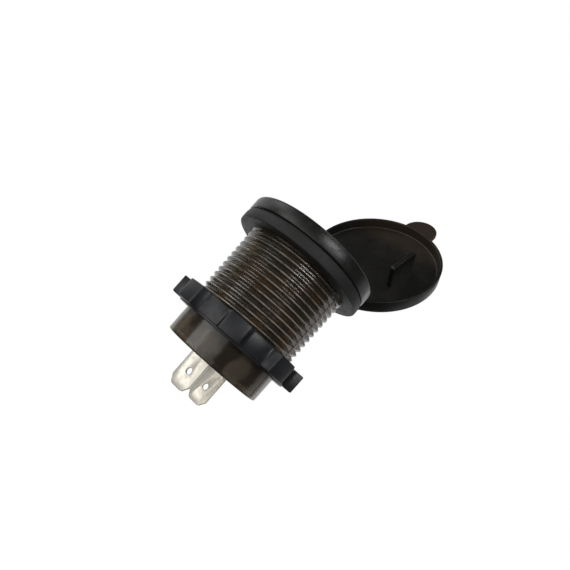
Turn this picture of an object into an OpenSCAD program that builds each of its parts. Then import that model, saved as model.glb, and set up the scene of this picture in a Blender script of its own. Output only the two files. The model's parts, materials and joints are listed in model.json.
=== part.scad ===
// Panel-mount USB charging socket for a vehicle dash, in millimetres.
// The barrel's axis is Z, its face looks along +Z, and Z = 0 is the panel that the rubber seat presses on.
// The dust cap hinges on the +Y side and is drawn open.

/* [Barrel] */
// Diameter over the thread crests
thread_d = 28.8; // [26:0.1:34]
// Pitch of the thread
thread_pitch = 1.6; // [1.2:0.1:2]
// Radial depth of the thread
thread_depth = 0.6; // [0.4:0.05:0.9]
// Length of the threaded stretch behind the panel
thread_len = 23.6; // [16:0.2:30]
// Length of the barrel behind the panel
barrel_len = 31.6; // [30:0.2:44]
// How far the smooth rear stretch lies inside the thread crests
rear_inset = 0.55; // [0.2:0.05:1]
// Depth of the flat that runs down each side, from the thread crests
flat_depth = 0.5; // [0.2:0.05:1]
// Wall between the thread root and the bore
barrel_wall = 1.2; // [0.9:0.1:2]
// Thickness of the closed rear end
rear_wall = 1.5; // [1:0.1:3]
// Step of the bore at each board, which forms its ledge
ledge = 0.4; // [0.3:0.05:0.8]

/* [Flange, collar and seat] */
// How far the front flange stands out past the thread
flange_over = 2.5; // [1.5:0.1:5]
// Thickness of the flange
flange_t = 2.7; // [2:0.1:4]
// How far the rubber seat stands out past the thread
seat_over = 3.8; // [2:0.1:6]
// Thickness of the rubber seat
seat_t = 2.9; // [1:0.1:4]
// Radial wall of the collar round the flange
collar_wall = 1.1; // [0.8:0.1:2]
// Thickness of the collar's web behind the flange
collar_web = 0.6; // [0.4:0.1:1.2]
// How far the collar's front edge stands past the flange
collar_lip = 0.2; // [0:0.1:1]
// Clearance between parts that only slip together
slip = 0.1; // [0.05:0.01:0.2]

/* [Face plate and ports] */
// Thickness of the face plate
plate_t = 1.4; // [1:0.1:2]
// Radial land of the flange that the face plate sits inside
plate_land = 1; // [0.7:0.1:2]
// Distance between the two ports
port_pitch = 15.2; // [14:0.1:16]
// Outer width of a port shell, along its long side
port_w = 13.14; // [12.8:0.02:13.4]
// Outer height of a port shell, across its long side
port_h = 5.72; // [5.5:0.02:6]
// Sheet thickness of a port shell
port_sheet = 0.32; // [0.25:0.01:0.4]
// Thickness of the tongue inside a port
tongue_t = 1.84; // [1.7:0.02:2]
// Gap between the tongue's back and the shell
tongue_back = 0.65; // [0.5:0.05:0.9]
// Depth from the face to the port board
port_depth = 14.8; // [13:0.1:18]
// Diameter of the lamp window
lamp_d = 2.2; // [1.6:0.1:3]

/* [Dust cap] */
// Distance from the closed cap's rim out to the hinge line
hinge_out = 1.7; // [1.4:0.05:3]
// Wall thickness of the cap's rim
cap_wall = 0.85; // [0.7:0.05:1.4]
// Height of the cap, rim to top
cap_h = 4.1; // [3.4:0.1:6]
// Thickness of the cap's top
cap_t = 1.2; // [0.9:0.1:2]
// Rise of the cap's top at its middle
cap_dome = 0.5; // [0:0.1:1.5]
// Radial clearance between cap and collar
cap_gap = 0.25; // [0.15:0.05:0.5]
// How far the rim reaches down over the collar
cap_overlap = 1.5; // [0.8:0.1:2]
// Angle that the cap is open in this drawing
cap_open = 115; // [0:1:165]
// Width of the hinge strap
strap_w = 11; // [6:0.5:16]
// Thickness of the strap's two halves
strap_t = 0.8; // [0.6:0.05:1.2]
// Thickness of the web that bends
web_t = 0.4; // [0.3:0.05:0.6]
// Radius of the finger tab's end
tab_r = 5.2; // [3:0.1:8]
// How far the tab stands out from the rim
tab_len = 8.6; // [5:0.1:12]
// Length of the rib that grips a port
rib_len = 10.2; // [6:0.1:10.8]
// Height of the rib
rib_h = 7; // [4:0.1:8]
// Thickness of the rib
rib_t = 1.3; // [0.8:0.05:1.4]

/* [Lock nut] */
// Wall of the nut's ring, from the thread crests
nut_wall = 2.2; // [1.5:0.1:4]
// Height of a lobe above the ring
lobe_h = 2.6; // [1:0.1:4]
// Thickness of the nut at its lobes
nut_t = 4.9; // [3:0.1:8]
// Distance from the panel to the nut's front face
nut_at = 19.3; // [6:0.1:20]
// Number of lobes
lobe_count = 8; // [6:1:10]
// Width of a lobe
lobe_w = 5.8; // [4:0.1:7]
// Turn of the nut about the axis
nut_turn = 27.5; // [0:0.5:60]

/* [Blade terminals] */
// Width of a blade
blade_w = 6.3; // [4.8:0.1:6.6]
// Sheet thickness of a blade
blade_t = 0.8; // [0.5:0.1:1]
// Distance between the two blades
blade_gap = 10.6; // [9:0.1:12]
// How far the negative blade stands out behind the barrel
blade_len = 9.5; // [7:0.1:12]
// How much further the positive blade stands out
blade_step = 1; // [0:0.1:2]
// Diameter of the hole in a blade
blade_hole_d = 1.7; // [1:0.1:2.2]
// Distance from a blade's tip to its hole
blade_hole_at = 5; // [4:0.1:6]
// Extra width of a blade inside the barrel, to one side
blade_shoulder = 3.2; // [2:0.1:4]

/* [Boards] */
// Thickness of a circuit board
board_t = 1.6; // [1:0.1:2]
// Distance from the rear wall to the power board
board_rise = 6.5; // [5.5:0.1:8]
// Diameter of the tall input capacitor
input_cap_d = 8; // [6:0.1:8]
// Height of the input capacitor
input_cap_h = 10.5; // [6:0.1:10.6]
// Diameter of the output capacitor
output_cap_d = 6.3; // [5:0.1:6.6]
// Height of the output capacitor
output_cap_h = 9; // [5:0.1:10]
// Diameter of the noise capacitor beside the blades
noise_cap_d = 4.6; // [3:0.1:4.8]
// Diameter of the inductor
inductor_d = 8; // [6:0.1:9]
// Height of the inductor
inductor_h = 7.5; // [4:0.1:9]
// Side of a square header pin
pin_side = 0.64; // [0.5:0.02:0.7]

/* [Hidden] */
$fn = 96;
tiny = 0.01;

thread_r = thread_d / 2;
root_r = thread_r - thread_depth;
rear_r = thread_r - rear_inset;
flats_across = thread_d - 2 * flat_depth;
bore_r = root_r - barrel_wall;
mid_bore_r = bore_r - ledge;
low_bore_r = mid_bore_r - ledge;
crest_land = 0.18 * thread_pitch;
root_land = 0.24 * thread_pitch;
neck_end = 0.2;
thread_start = 0.4;
thread_turns = floor((thread_len - thread_start) / thread_pitch);
rear_step = 0.3;
rear_edge = 0.5;
rear_edge_in = 0.35;
parting_w = 0.3;
parting_rise = 0.15;
parting_root = 0.5;

collar_back = seat_t;
flange_back = collar_back + collar_web;
flange_front = flange_back + flange_t;
flange_r = thread_r + flange_over;
collar_in_r = flange_r + slip;
collar_r = collar_in_r + collar_wall;
collar_front = flange_front + collar_lip;
neck_gap = slip;
seat_r = thread_r + seat_over;
plate_r = flange_r - plate_land;
plate_back = flange_front - plate_t;
spigot_len = 3;
spigot_wall = 1;
port_frame = 0.9;
frame_corner = 1.2;
frame_rise = 0.35;
flange_edge = 0.5;
seat_foot = 0.3;
seat_round = 0.7;
seat_slope = 1.3;
collar_foot = 0.35;
collar_edge = 0.7;

port_board_top = flange_front - port_depth;
port_board_bottom = port_board_top - board_t;
rear_inside = -barrel_len + rear_wall;
power_board_bottom = rear_inside + board_rise;
power_board_top = power_board_bottom + board_t;
port_board_r = bore_r - slip;
power_board_r = mid_bore_r - slip;

port_set_back = 0.15;
port_front = flange_front - port_set_back;
port_in_w = port_w - 2 * port_sheet;
port_in_h = port_h - 2 * port_sheet;
port_corner = 0.7;
tongue_x = -port_in_h / 2 + tongue_back + tongue_t / 2;
tongue_w = 11.1;
tongue_front = port_front - 1.1;
contact_front = tongue_front - 1.2;
base_len = 4.1;
contact_w = 1;
contact_t = 0.15;
contact_ys = [-3.5, -1, 1, 3.5];
tail_w = 0.5;
tail_below = 0.6;
shell_leg_w = 1.8;
shell_leg_y = 4.6;
window_w = 2.2;
window_bottom = port_front - 7.5;
window_top = port_front - 3.5;
leaf_w = 1.5;
leaf_t = 0.25;
leaf_bend = 0.3;
leaf_lead = 0.15;
leaf_end = window_top - 0.4;
leaf_knee = window_top - 1;

cap_rim_in = collar_r + cap_gap;
cap_r = cap_rim_in + cap_wall;
hinge_r = cap_r + hinge_out;
cap_rim_z = collar_front - cap_overlap;
cap_inner_z = cap_rim_z + cap_h - cap_t;
cap_top_z = cap_rim_z + cap_h;
cap_edge = 0.5;
cap_corner = 0.4;
rim_round = 0.25;
strap_reach = 0.6;
strap_half_gap = 0.2;
strap_root = 0.25;
web_out = 0.35;
tab_t = 1.1;
tab_inset = 0.1;
tab_overlap = 0.05;
tab_centre = cap_r + tab_len - tab_r;
tab_fillet = 1.6;
fillet_x = tab_r + tab_fillet;
fillet_y = sqrt(pow(cap_r - tab_overlap + tab_fillet, 2) - pow(fillet_x, 2));
fillet_touch = (cap_r - 2 * tab_overlap) / (cap_r + tab_fillet);
rib_x = port_pitch / 2 + tongue_x + tongue_t / 2 + (port_in_h / 2 - tongue_x - tongue_t / 2) / 2 + 0.15;
rib_y = -0.5;
rib_lead = 0.9;
rib_root = 0.3;

nut_gap = 0.06;
nut_body_r = thread_r + nut_wall;
nut_r = nut_body_r + lobe_h;
nut_boss = 0.4;
nut_chamfer = 0.4;
nut_lead_in = 0.5;
lobe_flare = 0.6;
lobe_waist = 0.2;
lobe_root = 0.1;

blade_y = blade_gap / 2;
blade_tip_w = 3.4;
blade_tip_len = 2;
blade_tip_edge = 0.3;
shoulder_chamfer = 1;
blade_leg_w = 1.2;
blade_leg_xs = [1.3, 4.6];
leg_through = 0.6;

pin_pitch = 2.54;
pin_xs = [-1.5 * pin_pitch, -0.5 * pin_pitch, 0.5 * pin_pitch, 1.5 * pin_pitch];
pin_y = -9.5;
pin_over = 0.9;
header_h = 2.5;
hole_gap = 0.05;

input_cap_at = [-5.2, 5.6];
output_cap_at = [8.3, 2.2];
inductor_at = [4.3, -4.6];
noise_cap_y = -blade_y - blade_t / 2 - noise_cap_d / 2 - 0.1;
noise_cap_reach = low_bore_r - noise_cap_d / 2 - 0.25;
noise_cap_at = [min(4.4, sqrt(pow(noise_cap_reach, 2) - pow(noise_cap_y, 2))), noise_cap_y];
converter_at = [-6.2, 3.6 - blade_y];
charge_at = [port_pitch / 2 - 3.6, -3.4];
diode_at = [-1.2, 0.2];
sleeve_groove = 0.3;
groove_at = 0.9;
can_edge = 0.3;
noise_cap_h = 3.2;
noise_cap_edge = 0.5;
noise_lead_d = 0.5;
noise_lead_x = 1.25;
drum_t = 1.2;
drum_core_r = inductor_d / 4;
winding_in = 0.5;
chip_draft = 0.12;
chip_size = [4.9, 3.9];
chip_pitch = 1.27;
chip_side_leads = 4;
converter_h = 1.5;
charge_h = 1.1;
chip_lead = [0.4, 0.9, 0.25];
diode_size = [2.6, 4.3];
diode_h = 2.2;
led_r = 1.5;
led_foot_r = 1.9;
led_foot_t = 1;
led_body = 3.8;
pipe_collar = 0.5;
pipe_proud = 0.1;

housing_c = [0.24, 0.18, 0.13];
rubber_c = [0.16, 0.16, 0.16];
cap_c = [0.13, 0.12, 0.1];
nut_c = [0.12, 0.13, 0.15];
tin_c = [0.86, 0.83, 0.74];
board_c = [0.1, 0.35, 0.2];
steel_c = [0.75, 0.76, 0.78];
gold_c = [0.85, 0.68, 0.32];
chip_c = [0.08, 0.08, 0.09];

// Cylinder between two heights
module rod(r, z0, z1) {
    translate([0, 0, z0]) cylinder(r = r, h = z1 - z0);
}

// Box centred on x and y between two heights
module post(x, y, z0, z1) {
    translate([-x / 2, -y / 2, z0]) cube([x, y, z1 - z0]);
}

// Upright plate with round corners, centred on x and y
module round_post(x, y, r, z0, z1) {
    translate([0, 0, z0])
        linear_extrude(z1 - z0)
            union() {
                square([x - 2 * r, y], center = true);
                square([x, y - 2 * r], center = true);
                for (sx = [-1, 1], sy = [-1, 1])
                    translate([sx * (x / 2 - r), sy * (y / 2 - r)]) circle(r = r, $fn = 24);
            }
}

// Things placed at port a (side = 1) or port b (side = -1)
module at_port(side) {
    translate([side * port_pitch / 2, 0, 0]) children();
}

// Turn that swings the closed cap open about the hinge line
module opened(angle) {
    translate([0, hinge_r, cap_rim_z])
        rotate([-angle, 0, 0])
            translate([0, -hinge_r, -cap_rim_z]) children();
}

// One thread crest as four outline points, seen as radius and height
function crest_points(i) = let (z = -thread_pitch * (i + 0.75)) [
    [root_r, z + (thread_pitch - root_land) / 2],
    [thread_r, z + crest_land / 2],
    [thread_r, z - crest_land / 2],
    [root_r, z - (thread_pitch - root_land) / 2]
];

// Outline of the barrel's outside, from the rear end up to the flange
barrel_points = concat(
    [[0, flange_back + 1], [thread_r, flange_back + 1], [thread_r, neck_end], [root_r, -thread_start]],
    [for (i = [0:thread_turns - 1], p = crest_points(i)) p],
    [
        [root_r, -thread_len],
        [rear_r, -thread_len - rear_step],
        [rear_r, -barrel_len + rear_edge],
        [rear_r - rear_edge_in, -barrel_len],
        [0, -barrel_len]
    ]
);

// Outside of the barrel: thread, two side flats and the parting ridges on them
module barrel_outside() {
    intersection() {
        rotate_extrude() polygon(barrel_points);
        union() {
            post(flats_across, thread_d + 2, -barrel_len, 0);
            rod(thread_r + 1, -tiny, flange_back + 2);
        }
    }
    for (sx = [-1, 1])
        translate([sx * (flats_across / 2 + (parting_rise - parting_root) / 2), 0, 0])
            post(parting_root + parting_rise, parting_w, -barrel_len + rear_edge, -thread_start);
}

// Flange with a rounded front edge and a recess for the face plate
module flange() {
    rotate_extrude()
        polygon([
            [bore_r, flange_back],
            [flange_r, flange_back],
            for (a = [0:30:90])
                [flange_r - flange_edge * (1 - cos(a)), flange_front - flange_edge * (1 - sin(a))],
            [plate_r, flange_front],
            [plate_r, plate_back],
            [bore_r, plate_back]
        ]);
}

// Slots in the rear wall for the two blades
module blade_slots() {
    for (sy = [-1, 1])
        translate([0, sy * blade_y, 0])
            post(blade_w + slip, blade_t + slip, -barrel_len - 1, rear_inside + 1);
}

module housing() {
    color(housing_c)
        difference() {
            union() {
                barrel_outside();
                flange();
            }
            rod(bore_r, port_board_bottom, flange_front + 1);
            rod(mid_bore_r, power_board_bottom, port_board_bottom + tiny);
            rod(low_bore_r, rear_inside, power_board_bottom + tiny);
            blade_slots();
        }
}

// Rubber seat, rounded towards the collar and flat on the panel
module panel_gasket() {
    color(rubber_c)
        rotate_extrude()
            polygon([
                [thread_r + neck_gap, 0],
                [seat_r - seat_foot, 0],
                [seat_r, seat_foot],
                for (a = [0:15:90])
                    [seat_r - seat_round * (1 - cos(a)), seat_t - seat_slope * (1 - sin(a))],
                [thread_r + neck_gap, seat_t]
            ]);
}

// Collar with its web behind the flange, its rim round the flange and the fixed half of the strap
module cap_collar() {
    color(cap_c)
        union() {
            rotate_extrude()
                polygon([
                    [thread_r + neck_gap, collar_back],
                    [collar_r - collar_foot, collar_back],
                    [collar_r, collar_back + collar_foot],
                    for (a = [0:15:90])
                        [collar_r - collar_edge * (1 - cos(a)), collar_front - collar_edge * (1 - sin(a))],
                    [collar_in_r, collar_front],
                    [collar_in_r, flange_back],
                    [thread_r + neck_gap, flange_back]
                ]);
            translate([0, 0, cap_rim_z - strap_half_gap - strap_t])
                linear_extrude(strap_t)
                    difference() {
                        translate([-strap_w / 2, 0]) square([strap_w, hinge_r - strap_reach]);
                        circle(r = collar_r - strap_root);
                    }
        }
}

// Middle of the moving half's end face, turned with the cap, seen as y and z from the hinge line
strap_mid = strap_half_gap + strap_t / 2;
moving_end = [
    -strap_reach * cos(cap_open) + strap_mid * sin(cap_open),
    strap_reach * sin(cap_open) + strap_mid * cos(cap_open)
];
moving_side = [sin(cap_open) * web_t / 2, cos(cap_open) * web_t / 2];

// Web that bends between the two halves of the strap
module cap_hinge_web() {
    color(cap_c)
        translate([-strap_w / 2, hinge_r, cap_rim_z])
            rotate([90, 0, 90])
                linear_extrude(strap_w)
                    polygon([
                        [-strap_reach, -strap_mid - web_t / 2],
                        [web_out, -strap_mid],
                        moving_end + moving_side,
                        moving_end - moving_side,
                        [0, -strap_mid + web_out],
                        [-strap_reach, -strap_mid + web_t / 2]
                    ]);
}

// Shallow shell of the closed cap
module cap_shell() {
    rotate_extrude()
        polygon([
            [0, cap_inner_z],
            [cap_rim_in - cap_corner, cap_inner_z],
            [cap_rim_in, cap_inner_z - cap_corner],
            [cap_rim_in, cap_rim_z + rim_round],
            [cap_rim_in + rim_round, cap_rim_z],
            [cap_r - rim_round / 2, cap_rim_z],
            [cap_r, cap_rim_z + rim_round / 2],
            for (a = [0:15:90])
                [cap_r - cap_edge * (1 - cos(a)), cap_top_z - cap_edge * (1 - sin(a))],
            for (k = [1:6])
                [(cap_r - cap_edge) * (1 - k / 6), cap_top_z + cap_dome * (1 - pow(1 - k / 6, 2))]
        ]);
}

// Finger tab with fillets where it leaves the rim
module cap_tab() {
    translate([0, 0, cap_top_z - tab_t - tab_inset])
        linear_extrude(tab_t)
            difference() {
                union() {
                    translate([0, -tab_centre]) circle(r = tab_r);
                    translate([-tab_r, -tab_centre]) square([2 * tab_r, tab_centre - cap_rim_in]);
                    polygon([
                        [-fillet_x, -fillet_y],
                        [fillet_x, -fillet_y],
                        [fillet_x * fillet_touch, -fillet_y * fillet_touch],
                        [-fillet_x * fillet_touch, -fillet_y * fillet_touch]
                    ]);
                }
                for (sx = [-1, 1])
                    translate([sx * fillet_x, -fillet_y]) circle(r = tab_fillet, $fn = 48);
                circle(r = cap_rim_in + cap_wall / 2);
            }
}

// Rib that stands in the open half of a port when the cap is closed
module port_rib() {
    translate([rib_x - rib_t / 2, rib_y, 0])
        rotate([90, 0, 90])
            linear_extrude(rib_t)
                polygon([
                    [-rib_len / 2, cap_inner_z + rib_root],
                    [-rib_len / 2, cap_inner_z - rib_h + rib_lead],
                    [-rib_len / 2 + rib_lead, cap_inner_z - rib_h],
                    [rib_len / 2 - rib_lead, cap_inner_z - rib_h],
                    [rib_len / 2, cap_inner_z - rib_h + rib_lead],
                    [rib_len / 2, cap_inner_z + rib_root]
                ]);
}

// Moving half of the strap, on the closed cap
module cap_strap() {
    translate([0, 0, cap_rim_z + strap_half_gap])
        linear_extrude(strap_t)
            difference() {
                translate([-strap_w / 2, 0]) square([strap_w, hinge_r - strap_reach]);
                circle(r = cap_r - strap_root);
            }
}

module dust_cap() {
    color(cap_c)
        opened(cap_open)
            union() {
                cap_shell();
                cap_tab();
                port_rib();
                cap_strap();
            }
}

// One side of a lobe, from inside the nut's ring out past its tip
lobe_side = [
    [nut_body_r - nut_wall / 2, lobe_w / 2 + lobe_flare],
    [nut_body_r - lobe_root, lobe_w / 2 + lobe_flare],
    [nut_body_r + lobe_waist, lobe_w / 2 + lobe_waist],
    [nut_body_r + lobe_flare, lobe_w / 2],
    [nut_r + 1, lobe_w / 2]
];

function reversed(list) = [for (i = [len(list) - 1:-1:0]) list[i]];

// Outline of the nut: a round body with straight-sided lobes that flare into it
module nut_outline() {
    union() {
        circle(r = nut_body_r);
        intersection() {
            circle(r = nut_r);
            for (i = [0:lobe_count - 1])
                rotate(nut_turn + i * 360 / lobe_count)
                    polygon([
                        for (s = [-1, 1], p = s < 0 ? lobe_side : reversed(lobe_side)) [p.x, s * p.y]
                    ]);
        }
    }
}

module lock_nut() {
    color(nut_c)
        difference() {
            union() {
                intersection() {
                    translate([0, 0, -nut_at - nut_t]) linear_extrude(nut_t) nut_outline();
                    rotate_extrude()
                        polygon([
                            [0, -nut_at],
                            [nut_r - nut_chamfer, -nut_at],
                            [nut_r, -nut_at - nut_chamfer],
                            [nut_r, -nut_at - nut_t + nut_chamfer],
                            [nut_r - nut_chamfer, -nut_at - nut_t],
                            [0, -nut_at - nut_t]
                        ]);
                }
                rod(nut_body_r - lobe_root, -nut_at - nut_t - nut_boss, -nut_at - 1);
            }
            rod(thread_r + nut_gap, -nut_at - nut_t - 1, -nut_at + 1);
            for (end = [-nut_at, -nut_at - nut_t - nut_boss])
                translate([0, 0, end])
                    rotate_extrude()
                        polygon([
                            [thread_r - nut_lead_in, -nut_lead_in],
                            [thread_r + nut_lead_in, 0],
                            [thread_r - nut_lead_in, nut_lead_in]
                        ]);
        }
}

// Front plate: two framed port mouths, a lamp hole and a spigot that centres it in the bore
module face_plate() {
    color(chip_c)
        difference() {
            union() {
                rod(plate_r - slip, plate_back, flange_front);
                rod(bore_r - slip, plate_back - spigot_len, plate_back + tiny);
                for (side = [-1, 1])
                    at_port(side)
                        round_post(port_h + 2 * port_frame, port_w + 2 * port_frame, frame_corner,
                                   plate_back, flange_front + frame_rise);
            }
            rod(bore_r - slip - spigot_wall, plate_back - spigot_len - 1, plate_back);
            for (side = [-1, 1])
                at_port(side)
                    round_post(port_h + slip, port_w + slip, port_corner + slip / 2,
                               plate_back - spigot_len - 1, flange_front + 1);
            rod((lamp_d + slip) / 2, plate_back - 1, flange_front + 1);
        }
}

// Spring leaf in one window of a port shell, bent inwards
module spring_leaf() {
    translate([0, leaf_w / 2, 0])
        rotate([90, 0, 0])
            linear_extrude(leaf_w)
                polygon([
                    [port_h / 2, window_bottom - leaf_t],
                    [port_h / 2, window_bottom + leaf_t],
                    [port_in_h / 2 - leaf_bend + leaf_t, leaf_knee],
                    [port_in_h / 2 - leaf_bend + leaf_t + leaf_lead, leaf_end],
                    [port_in_h / 2 - leaf_bend + leaf_lead, leaf_end],
                    [port_in_h / 2 - leaf_bend, leaf_knee],
                    [port_in_h / 2, window_bottom - leaf_t]
                ]);
}

// Folded shell of one port, with two sprung windows in each broad side and two legs
module usb_shell(side) {
    color(steel_c)
        at_port(side)
            union() {
                difference() {
                    union() {
                        round_post(port_h, port_w, port_corner, port_board_top, port_front);
                        for (sy = [-1, 1])
                            translate([port_h / 2 - port_sheet / 2, sy * shell_leg_y, 0])
                                post(port_sheet, shell_leg_w, port_board_bottom - leg_through,
                                     port_board_top + 1);
                    }
                    round_post(port_in_h, port_in_w, port_corner - port_sheet, port_board_top - 1,
                               port_front + 1);
                    for (sy = [-1, 1])
                        translate([0, sy * port_in_w / 4, 0])
                            post(port_h + 1, window_w, window_bottom, window_top);
                }
                for (turn = [0, 180], sy = [-1, 1])
                    rotate(turn) translate([0, sy * port_in_w / 4, 0]) spring_leaf();
            }
}

// One contact: a strip on the tongue and a tail down to the board
module usb_contact() {
    translate([tongue_x + tongue_t / 2 - contact_t / 2, 0, 0]) {
        post(contact_t, contact_w, port_board_top + base_len - 1, contact_front);
        post(contact_t, tail_w, port_board_bottom - tail_below, port_board_top + base_len);
    }
}

module usb_contacts(side) {
    color(gold_c)
        at_port(side)
            for (y = contact_ys)
                translate([0, y, 0]) usb_contact();
}

// Moulded tongue on its base, with a groove for each contact
module usb_tongue(side) {
    color([0.92, 0.92, 0.9])
        at_port(side)
            difference() {
                union() {
                    round_post(port_in_h - slip, port_in_w - slip, port_corner - port_sheet,
                               port_board_top, port_board_top + base_len);
                    translate([tongue_x, 0, 0])
                        post(tongue_t, tongue_w, port_board_top + 1, tongue_front);
                }
                for (y = contact_ys)
                    translate([0, y, 0]) usb_contact();
            }
}

// Holes for the header pins
module pin_holes(z0, z1) {
    for (x = pin_xs)
        translate([x, pin_y, 0]) post(pin_side + 2 * hole_gap, pin_side + 2 * hole_gap, z0, z1);
}

module port_board() {
    color(board_c)
        difference() {
            rod(port_board_r, port_board_bottom, port_board_top);
            pin_holes(port_board_bottom - 1, port_board_top + 1);
            for (side = [-1, 1])
                at_port(side) {
                    for (sy = [-1, 1])
                        translate([port_h / 2 - port_sheet / 2, sy * shell_leg_y, 0])
                            post(port_sheet + 2 * hole_gap, shell_leg_w + 2 * hole_gap,
                                 port_board_bottom - 1, port_board_top + 1);
                    for (y = contact_ys)
                        translate([tongue_x + tongue_t / 2 - contact_t / 2, y, 0])
                            post(contact_t + 2 * hole_gap, tail_w + 2 * hole_gap,
                                 port_board_bottom - 1, port_board_top + 1);
                }
        }
}

// Legs of one blade, where they pass the power board
module blade_legs(grow) {
    for (x = blade_leg_xs)
        translate([x, 0, 0])
            post(blade_leg_w + 2 * grow, blade_t + 2 * grow, power_board_bottom - leg_through,
                 power_board_top + leg_through);
}

module power_board() {
    color(board_c)
        difference() {
            rod(power_board_r, power_board_bottom, power_board_top);
            pin_holes(power_board_bottom - 1, power_board_top + 1);
            for (turn = [0, 180])
                rotate(turn) translate([0, blade_y, 0]) blade_legs(hole_gap);
            noise_leads(hole_gap, power_board_top + 1);
        }
}

module board_pins() {
    color(gold_c)
        for (x = pin_xs)
            translate([x, pin_y, 0])
                post(pin_side, pin_side, power_board_bottom - pin_over, port_board_top + pin_over);
}

module pin_header() {
    color(chip_c)
        difference() {
            translate([0, pin_y, 0])
                post(len(pin_xs) * pin_pitch, pin_pitch, port_board_bottom - header_h, port_board_bottom);
            for (x = pin_xs)
                translate([x, pin_y, 0])
                    post(pin_side, pin_side, port_board_bottom - header_h - 1, port_board_bottom + 1);
        }
}

// Stamped blade that stands out by reach, with its shoulder towards +X
module blade(reach) {
    color(tin_c)
        difference() {
            union() {
                translate([0, blade_t / 2, 0])
                    rotate([90, 0, 0])
                        linear_extrude(blade_t)
                            polygon([
                                [-blade_w / 2, power_board_bottom],
                                [-blade_w / 2, -barrel_len - reach + blade_tip_len],
                                [-blade_tip_w / 2 - blade_tip_edge, -barrel_len - reach + blade_tip_edge],
                                [-blade_tip_w / 2, -barrel_len - reach],
                                [blade_tip_w / 2, -barrel_len - reach],
                                [blade_tip_w / 2 + blade_tip_edge, -barrel_len - reach + blade_tip_edge],
                                [blade_w / 2, -barrel_len - reach + blade_tip_len],
                                [blade_w / 2, rear_inside],
                                [blade_w / 2 + blade_shoulder, rear_inside],
                                [blade_w / 2 + blade_shoulder, power_board_bottom - shoulder_chamfer],
                                [blade_w / 2 + blade_shoulder - shoulder_chamfer, power_board_bottom]
                            ]);
                blade_legs(0);
            }
            translate([0, 0, -barrel_len - reach + blade_hole_at])
                rotate([90, 0, 0]) cylinder(d = blade_hole_d, h = 4, center = true, $fn = 48);
        }
}

module blade_positive() {
    translate([0, blade_y, 0]) blade(blade_len + blade_step);
}

module blade_negative() {
    rotate(180) translate([0, blade_y, 0]) blade(blade_len);
}

// Round capacitor standing on the power board, with the groove its sleeve shows near the foot
module can_capacitor(d, h) {
    translate([0, 0, power_board_top])
        rotate_extrude()
            polygon([
                [0, 0],
                [d / 2, 0],
                [d / 2, groove_at],
                [d / 2 - sleeve_groove, groove_at + sleeve_groove],
                [d / 2, groove_at + 2 * sleeve_groove],
                [d / 2, h - can_edge],
                [d / 2 - can_edge, h],
                [0, h]
            ]);
}

module input_capacitor() {
    color([0.1, 0.12, 0.2]) translate(input_cap_at) can_capacitor(input_cap_d, input_cap_h);
}

module output_capacitor() {
    color([0.1, 0.12, 0.2]) translate(output_cap_at) can_capacitor(output_cap_d, output_cap_h);
}

// Two leads of the noise capacitor, up into the power board
module noise_leads(grow, z1) {
    for (sx = [-1, 1])
        translate([noise_cap_at.x + sx * noise_lead_x, noise_cap_at.y, 0])
            rod(noise_lead_d / 2 + grow, rear_inside + noise_cap_h - noise_cap_edge, z1);
}

// Round capacitor that hangs on its leads beside the blades
module noise_capacitor() {
    color(chip_c)
        union() {
            translate(noise_cap_at)
                rotate_extrude()
                    polygon([
                        [0, rear_inside],
                        [noise_cap_d / 2 - can_edge, rear_inside],
                        [noise_cap_d / 2, rear_inside + can_edge],
                        [noise_cap_d / 2, rear_inside + noise_cap_h - noise_cap_edge],
                        [noise_cap_d / 2 - noise_cap_edge, rear_inside + noise_cap_h],
                        [0, rear_inside + noise_cap_h]
                    ]);
            noise_leads(0, power_board_top - 0.2);
        }
}

// Ferrite drum: two flanges on a core
module inductor_core() {
    color([0.2, 0.2, 0.2])
        translate(inductor_at)
            rotate_extrude()
                polygon([
                    [0, power_board_top],
                    [inductor_d / 2, power_board_top],
                    [inductor_d / 2, power_board_top + drum_t],
                    [drum_core_r, power_board_top + drum_t],
                    [drum_core_r, power_board_top + inductor_h - drum_t],
                    [inductor_d / 2, power_board_top + inductor_h - drum_t],
                    [inductor_d / 2, power_board_top + inductor_h],
                    [0, power_board_top + inductor_h]
                ]);
}

module inductor_winding() {
    color([0.72, 0.38, 0.18])
        translate(inductor_at)
            difference() {
                rod(inductor_d / 2 - winding_in, power_board_top + drum_t,
                    power_board_top + inductor_h - drum_t);
                rod(drum_core_r, power_board_top, power_board_top + inductor_h);
            }
}

// Chip body with sloped ends, its foot on the board
module chip(size, h) {
    translate([0, size.y / 2, 0])
        rotate([90, 0, 0])
            linear_extrude(size.y)
                polygon([
                    [-size.x / 2 + chip_draft, 0],
                    [-size.x / 2, h / 2],
                    [-size.x / 2 + chip_draft, h],
                    [size.x / 2 - chip_draft, h],
                    [size.x / 2, h / 2],
                    [size.x / 2 - chip_draft, 0]
                ]);
}

// Row of gull-wing leads on both sides of a chip body
module chip_leads(size, count) {
    for (i = [0:count - 1], sy = [-1, 1])
        translate([(i - (count - 1) / 2) * chip_pitch, sy * (size.y / 2 + chip_lead.x), 0])
            post(chip_lead.x, chip_lead.y, 0, chip_lead.z);
}

module converter_chip() {
    color(chip_c)
        translate([converter_at.x, converter_at.y, power_board_top]) {
            chip(chip_size, converter_h);
            chip_leads(chip_size, chip_side_leads);
        }
}

module charge_chip() {
    color(chip_c)
        translate([charge_at.x, charge_at.y, port_board_bottom])
            mirror([0, 0, 1]) {
                chip(chip_size, charge_h);
                chip_leads(chip_size, chip_side_leads);
            }
}

module blocking_diode() {
    color(chip_c)
        translate([diode_at.x, diode_at.y, power_board_top]) {
            chip(diode_size, diode_h);
            chip_leads(diode_size, 1);
        }
}

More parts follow.
